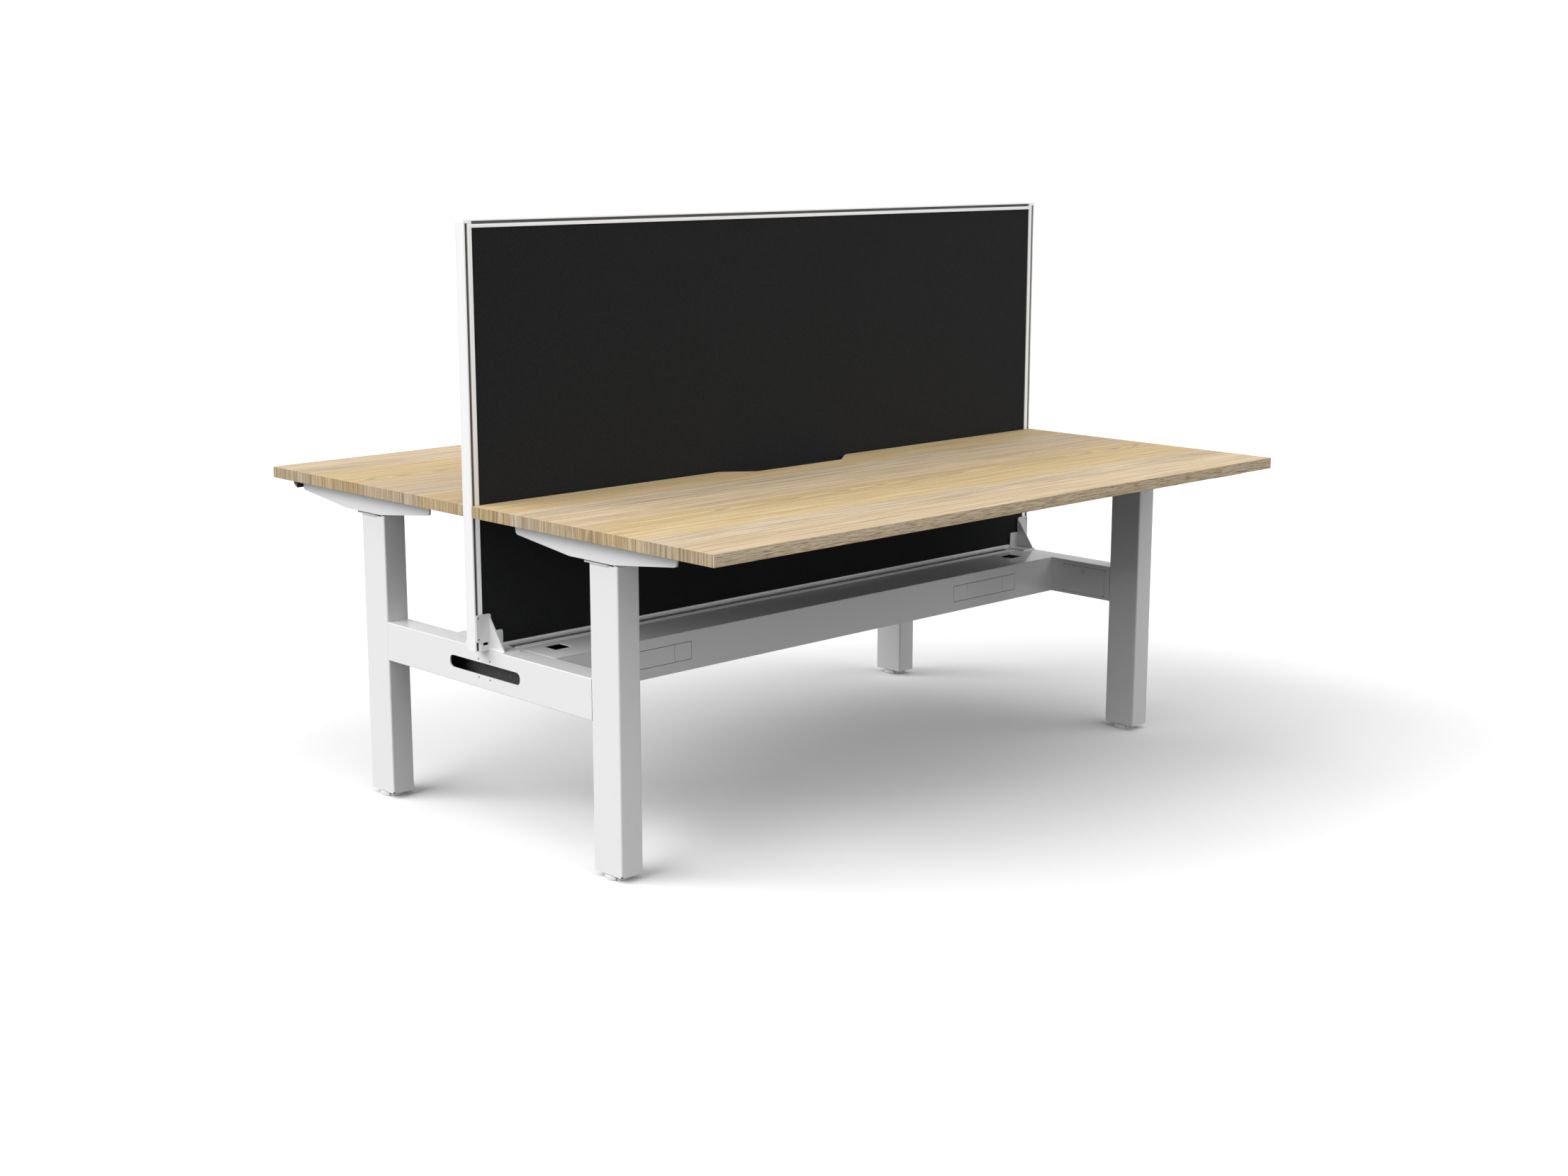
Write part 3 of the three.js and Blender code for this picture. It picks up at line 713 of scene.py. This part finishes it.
for node in nodes:
    kind = family(node)
    if kind in paintedEdge:
        copy = cleanCopy(node)
        low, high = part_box(node)
        for face in copy.faces:
            face.material_index = int(isBareOrPaintedShade(face, kind, low, high, weldSet))
        if kind == "beam":
            moveLevel(copy, "y", low.y, -weldSet["beamRunIn"])
            moveLevel(copy, "y", high.y, weldSet["beamRunIn"])
        if kind == "inner_tube":
            moveLevel(copy, "z", high.z, -weldSet["headGasket"])
        finishes = [paint, plain["bareSteelAndPaintedShade"]]
        edge = paintedEdge[kind]
        settle(copy, "painted_" + node, finishes, bodyOf(node), [node], edge)
print("painted metalwork made")


# cable duct: powder coat outside; black inside and in the scored lines round the knock-outs, painted
# shade for the dark hollow and grooves
ductSet = {
    "edge": 0.0003,
    "innerWall": 0.1716,
    "floor": 0.3268,
    "floorTop": 0.33,
    "lid": 0.4112,
    "score": 0.1724,
    "scoreNear": 0.0002,
    "slotWall": 0.034,
    "end": 0.8118,
}


def isDuctPaintedShade(face, look):
    middle = face.calc_center_median()
    if abs(middle.x) > look["end"]:  # the cut ends are painted
        return False
    upright = abs(face.normal.y) > square
    scored = upright and abs(abs(middle.y) - look["score"]) < look["scoreNear"]
    slotWall = upright and abs(middle.y) < look["slotWall"]
    inside = abs(middle.y) < look["innerWall"] and look["floor"] < middle.z < look["lid"]
    wall = inside and not slotWall and face.normal.z < square
    return scored or wall or (inside and middle.z < look["floorTop"])


for node in ("duct_tray", "duct_lid_front", "duct_lid_rear"):
    duct = cleanCopy(node)
    duct.normal_update()
    for face in duct.faces:
        # faces inside the duct and in the scored lines take the black painted shade
        face.material_index = int(isDuctPaintedShade(face, ductSet))
    finishes = [paint, plain["ductPaintedShade"]]
    settle(duct, "painted_" + node, finishes, bodyOf(node), [node], ductSet["edge"])
print("duct made")


# screen: cloth stretched on each face, coated rails and moulded corner caps
screenSet = {
    "turn": 0.0016,
    "fold": 0.0012,
    "foldSegments": 3,
    "thickness": 0.0007,
    "squares": (36, 18),
    "railEdge": 0.0004,
    "capEdge": 0.0008,
    "groove": (0.006, 0.0145),
}


def stretchedCloth(look, way):
    low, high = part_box("screen_panel")
    face = low.y if way < 0 else high.y
    size = high - low
    middle = (low + high) / 2
    bm = bmesh.new()
    place = Matrix.Translation((middle.x, face, middle.z)) @ Matrix.Diagonal((size.x, 1, size.z, 1))
    upright = Matrix.Rotation(math.radians(90 * -way), 4, "X")
    across, up = look["squares"]
    bmesh.ops.create_grid(bm, x_segments=across, y_segments=up, size=0.5, matrix=place @ upright)
    rim = [e for e in bm.edges if e.is_boundary]
    turned = bmesh.ops.extrude_edge_only(bm, edges=rim)["geom"]
    turnedVerts = [v for v in turned if isinstance(v, bmesh.types.BMVert)]
    bmesh.ops.translate(bm, verts=turnedVerts, vec=(0, -way * look["turn"], 0))
    bmesh.ops.recalc_face_normals(bm, faces=bm.faces[:])
    if sum(f.normal.y * way for f in bm.faces) < 0:
        bmesh.ops.reverse_faces(bm, faces=bm.faces[:])
    return bm, size


for row, way in rows.items():
    bm, size = stretchedCloth(screenSet, way)
    piece = settle(
        bm, "screen_cloth_" + row, [cloth], "frame", ["screen_panel"],
        screenSet["fold"], screenSet["foldSegments"],
    )
    wall = piece.modifiers.new("wall", "SOLIDIFY")
    wall.thickness = screenSet["thickness"]
    turn = 2 * screenSet["turn"]
for node in nodes:
    if family(node).startswith("screen_rail"):
        copy = cleanCopy(node)
        # faces inside the groove take the painted shade finish
        bottom, mouth = screenSet["groove"]
        for face in copy.faces:
            face.material_index = int(bottom < abs(face.calc_center_median().y) < mouth)
        edge = screenSet["railEdge"]
        settle(copy, "coated_" + node, [rail, groove], "frame", [node], edge)
    if family(node) == "screen_cap":
        copy = cleanCopy(node)
        edge = screenSet["capEdge"]
        settle(copy, "moulded_" + node, [plain["capWhite"]], "frame", [node], edge)
print("screen made")


# feet, handsets, buttons and control boxes
mouldedEdge = {
    "foot": 0.0006,
    "handset": 0.0009,
    "up_button": 0.0005,
    "down_button": 0.0005,
    "control_box": 0.0012,
}
for node in nodes:
    kind = family(node)
    if kind in mouldedEdge:
        finish = plain["whitePlastic" if kind == "foot" else "blackPlastic"]
        slot = "white_plastic" if kind == "foot" else "black_plastic"
        copy = cleanCopy(node)
        settle(copy, "moulded_" + node, [finish], bodyOf(node), [node], mouldedEdge[kind])
print("moulded parts made")


# up and down marks: a raised triangle on each button
markSet = {"radius": 0.0018, "proud": 0.0002, "sink": 0.0004}


def triangle(bm, centre, normal, point, radius, depth):
    made = bmesh.ops.create_circle(bm, cap_ends=True, segments=3, radius=radius)["verts"]
    face = made[0].link_faces[0]
    raised = bmesh.ops.extrude_face_region(bm, geom=[face])["geom"]
    top = [v for v in raised if isinstance(v, bmesh.types.BMVert)]
    bmesh.ops.translate(bm, verts=top, vec=(0, 0, depth))
    sideways = Vector(point).cross(Vector(normal))
    turn = Matrix((sideways, point, normal)).transposed().to_4x4()
    bmesh.ops.transform(bm, matrix=Matrix.Translation(centre) @ turn, verts=made + top)
    bmesh.ops.recalc_face_normals(bm, faces=bm.faces[:])


for row, way in rows.items():
    for name, up in (("up", 1), ("down", -1)):
        node = name + "_button_" + row
        low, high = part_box(node)
        middle = (low + high) / 2
        front = low.y if way < 0 else high.y
        bm = bmesh.new()
        start = (middle.x, front - way * markSet["sink"], middle.z)
        depth = markSet["sink"] + markSet["proud"]
        triangle(bm, start, (0, way, 0), (0, 0, up), markSet["radius"], depth)
        settle(bm, "mark_" + node, [plain["whitePlastic"]], bodyOf(node))
print("button marks made")


# screws of the screen brackets: two in each plate, sunk in their holes, and one on each base
screwSet = {
    "segments": 18,
    "taper": 0.86,
    "recess": 0.45,
    "edge": 0.0002,
    "sheet": 0.003,
    "radius": 0.0019,
    "below": 0.0004,
    "face": 0.015,
    "hole": 0.0077,
    "heights": (0.486, 0.440),
    "baseRadius": 0.0021,
    "baseRise": 0.0009,
    "baseInset": 0.0685,
    "baseReach": 0.063,
}


def screw(bm, foot, axis, radius, height, look):
    made = bmesh.ops.create_cone(
        bm, cap_ends=True, segments=look["segments"], radius1=radius, radius2=radius * look["taper"],
        depth=height,
    )["verts"]
    top = max({f for v in made for f in v.link_faces}, key=lambda f: f.calc_center_median().z)
    recess = bmesh.ops.inset_region(bm, faces=[top], thickness=radius * look["recess"])["faces"]
    rim = {v for f in recess for v in f.verts} | set(made)
    drop = bmesh.ops.extrude_face_region(bm, geom=[top])["geom"]
    low = [v for v in drop if isinstance(v, bmesh.types.BMVert)]
    bmesh.ops.delete(bm, geom=[top], context="FACES_ONLY")
    bmesh.ops.translate(bm, verts=low, vec=(0, 0, -height * look["recess"]))
    turn = Vector(axis).to_track_quat("Z", "Y").to_matrix().to_4x4()
    place = Matrix.Translation(foot) @ turn @ Matrix.Translation((0, 0, height / 2))
    bmesh.ops.transform(bm, matrix=place, verts=list(rim | set(low)))


plateScrews = bmesh.new()
baseScrews = bmesh.new()
for row, way in rows.items():
    for side, out in sides.items():
        low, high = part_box("screen_bracket_" + row + "_" + side)
        outer = low.x if out < 0 else high.x
        rise = screwSet["sheet"] - screwSet["below"]
        for height in screwSet["heights"]:
            place = (outer - out * screwSet["hole"], way * screwSet["face"], height)
            screw(plateScrews, place, (0, way, 0), screwSet["radius"], rise, screwSet)
        inner = outer - out * screwSet["baseInset"]
        place = (inner, way * screwSet["baseReach"], low.z + screwSet["sheet"])
        screw(baseScrews, place, (0, 0, 1), screwSet["baseRadius"], screwSet["baseRise"], screwSet)
for made in (plateScrews, baseScrews):
    bmesh.ops.recalc_face_normals(made, faces=made.faces[:])
settle(plateScrews, "bracket_screws", [steels["darkSteel"]], "frame", (), screwSet["edge"])
settle(baseScrews, "base_screws", [steels["brightSteel"]], "frame", (), screwSet["edge"])
print("screws made")


# between column and channel: a dark gasket on each head plate and, at its short end, a black pad as
# painted shadow in the gap
padSet = {
    "near": 0.0185,
    "far": 0.029,
    "half": 0.0278,
    "low": 0.651,
    "high": 0.655,
    "gap": 0.0002,
    "edge": 0.0008,
    "gasketHalf": 0.032,
    "gasketReach": 0.0575,
    "gasketRadius": 0.006,
    "gasketSegments": 4,
}
for row in rows:
    for side, out in sides.items():
        low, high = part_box("leg_" + row + "_" + side)
        middle = (low + high) / 2
        near = middle.y + out * padSet["near"]
        top = padSet["high"] - padSet["gap"]
        body = bodyOf("inner_tube_" + row + "_" + side)
        reach = sorted((near + out * padSet["gap"], middle.y + out * padSet["far"]))
        # black pad: painted shadow for the dark gap at the plate's short end
        bm = bmesh.new()
        block(
            bm, (middle.x - padSet["half"], reach[0], padSet["low"] + padSet["gap"]),
            (middle.x + padSet["half"], reach[1], top), padSet["edge"],
        )
        settle(bm, "head_pad_" + row + "_" + side, [plain["blackPlastic"]], body)
        reach = sorted((near, middle.y - out * padSet["gasketReach"]))
        bm = bmesh.new()
        block(
            bm, (middle.x - padSet["gasketHalf"], reach[0], padSet["high"] - weldSet["headGasket"]),
            (middle.x + padSet["gasketHalf"], reach[1], top),
        )
        upright = [e for e in bm.edges if abs((e.verts[0].co - e.verts[1].co).normalized().z) > square]
        bmesh.ops.bevel(
            bm, geom=upright, offset=padSet["gasketRadius"], affect="EDGES",
            segments=padSet["gasketSegments"], profile=0.5, material=-1,
        )
        name = "head_gasket_" + row + "_" + side
        settle(bm, name, [plain["gasketGreyAndPaintedShadow"]], body, (), padSet["gap"])
print("head pads made")


# arrow outlines on the service covers, and thin dark sheets behind the covers: painted shadow in the gaps
# round them
coverMark = {
    "radius": 0.0075,
    "line": 0.0011,
    "proud": 0.0002,
    "drop": 0.0035,
    "shadowGapRim": 0.0006,
    "seal": 0.0004,
}
for side, out in sides.items():
    bm = bmesh.new()
    for row in rows:
        low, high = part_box("beam_cover_" + row + "_" + side)
        middle = (low + high) / 2
        face = high.x if out < 0 else low.x
        radius = coverMark["radius"]
        made = bmesh.ops.create_circle(bm, cap_ends=True, segments=3, radius=radius)["verts"]
        plate = made[0].link_faces[0]
        bmesh.ops.inset_region(bm, faces=[plate], thickness=coverMark["line"], use_boundary=True)
        rim = set(made) | set(plate.verts)
        bmesh.ops.delete(bm, geom=[plate], context="FACES_ONLY")
        turn = Matrix(((0, -out, 0), (0, 0, -1), (-out, 0, 0))).transposed().to_4x4()  # point down
        lift = face - out * coverMark["proud"]
        place = Matrix.Translation((lift, middle.y, high.z - radius - coverMark["drop"]))
        bmesh.ops.transform(bm, matrix=place @ turn, verts=list(rim))
    bmesh.ops.recalc_face_normals(bm, faces=bm.faces[:])
    piece = settle(bm, "cover_marks_" + side, [plain["markGrey"]], "frame")
    wall = piece.modifiers.new("wall", "SOLIDIFY")
    wall.thickness = 2 * coverMark["proud"]
    wall.offset = 0
    # a thin dark sheet round each cover, painted shadow for the gap at its rim
    bm = bmesh.new()
    for row in rows:
        low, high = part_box("beam_cover_" + row + "_" + side)
        root = low.x if out < 0 else high.x
        depth = sorted((root, root - out * coverMark["seal"]))
        rim = coverMark["shadowGapRim"]
        block(bm, (depth[0], low.y - rim, low.z - rim), (depth[1], high.y + rim, high.z + rim))
    settle(bm, "cover_seals_" + side, [plain["gasketGreyAndPaintedShadow"]], "frame")
print("cover marks made")


# drive parts inside the columns and channels keep their solids
hiddenFinish = {
    "spindle": ("brightSteel", "bright_steel"),
    "nut_tube": ("darkSteel", "dark_steel"),
    "lift_motor": ("darkSteel", "dark_steel"),
}
for node, part in nodes.items():
    kind = family(node)
    if kind in hiddenFinish:
        finish, slot = hiddenFinish[kind]
        part.data.materials.clear()
        part.data.materials.append(steels[finish])
print("drive parts finished")


# studio: white floor and surround, with soft light from the left end, from behind on the left
# and from the front
studio = {
    "floor": 60,
    "floorLight": grey(1.11),
    "floorDark": grey(1.09),
    "floorCloud": 3,
    "floorBounce": grey(0.13),
    "floorShine": 0.7,
    "dome": 0.25,
    "backdrop": 1.0,
    "skyShine": 1.0,
}
lamps = {  # heading and height in degrees, as seen from the object
    "keyLight": {"heading": 180, "height": 29, "strength": 1.4, "angle": 45},
    "sideLight": {"heading": 140, "height": 34, "strength": 0.87, "angle": 30},
    "backLight": {"heading": 135, "height": 55, "strength": 0.94, "angle": 60},
    "frontLight": {"heading": 285, "height": 45, "strength": 1.15, "angle": 76},
}


def seenRay(start, share):  # the camera sees the white studio, reflections see a share of it
    ray = start.node("LightPath", output="Is Camera Ray")
    return ray.maths("MAXIMUM", ray, ray.out("Is Glossy Ray") * share)


def addFloor(look):
    made = bpy.data.materials.new("studioFloor")
    made.use_nodes = True
    made.node_tree.nodes.clear()
    start = Wire(made.node_tree)
    at = start.node("TexCoord", output="Object")
    tone = tint(noise(at, look["floorCloud"]), look["floorDark"], look["floorLight"])
    seen = start.node("BsdfDiffuse", None, {"Color": tone})
    bounce = start.node("BsdfDiffuse", None, {"Color": look["floorBounce"]})
    both = start.node("MixShader", None, {0: seenRay(start, look["floorShine"]), 1: bounce, 2: seen})
    start.node("OutputMaterial", None, {"Surface": both})
    bm = bmesh.new()
    bmesh.ops.create_grid(bm, x_segments=1, y_segments=1, size=look["floor"] / 2)
    mesh = bpy.data.meshes.new("studioFloor")
    bm.to_mesh(mesh)
    bm.free()
    mesh.materials.append(made)
    floor = bpy.data.objects.new("studioFloor", mesh)
    bpy.context.scene.collection.objects.link(floor)


def addLamp(name, look):
    lamp = bpy.data.lights.new(name, "SUN")
    lamp.energy = look["strength"]
    lamp.angle = math.radians(look["angle"])
    held = bpy.data.objects.new(name, lamp)
    held.rotation_euler = (0, math.radians(90 - look["height"]), math.radians(look["heading"]))
    bpy.context.scene.collection.objects.link(held)


def addSurround(look):
    world = bpy.data.worlds.new("studio")
    world.use_nodes = True
    tree = world.node_tree
    tree.nodes.clear()
    start = Wire(tree)
    soft = start.node("Background", None, {"Color": grey(1), "Strength": look["dome"]})
    white = start.node("Background", None, {"Color": grey(1), "Strength": look["backdrop"]})
    both = start.node("MixShader", None, {0: seenRay(start, look["skyShine"]), 1: soft, 2: white})
    start.node("OutputWorld", None, {"Surface": both})
    bpy.context.scene.world = world


addFloor(studio)
for name, look in lamps.items():
    addLamp(name, look)
addSurround(studio)
bpy.context.scene.view_settings.view_transform = "Standard"
print("studio set")
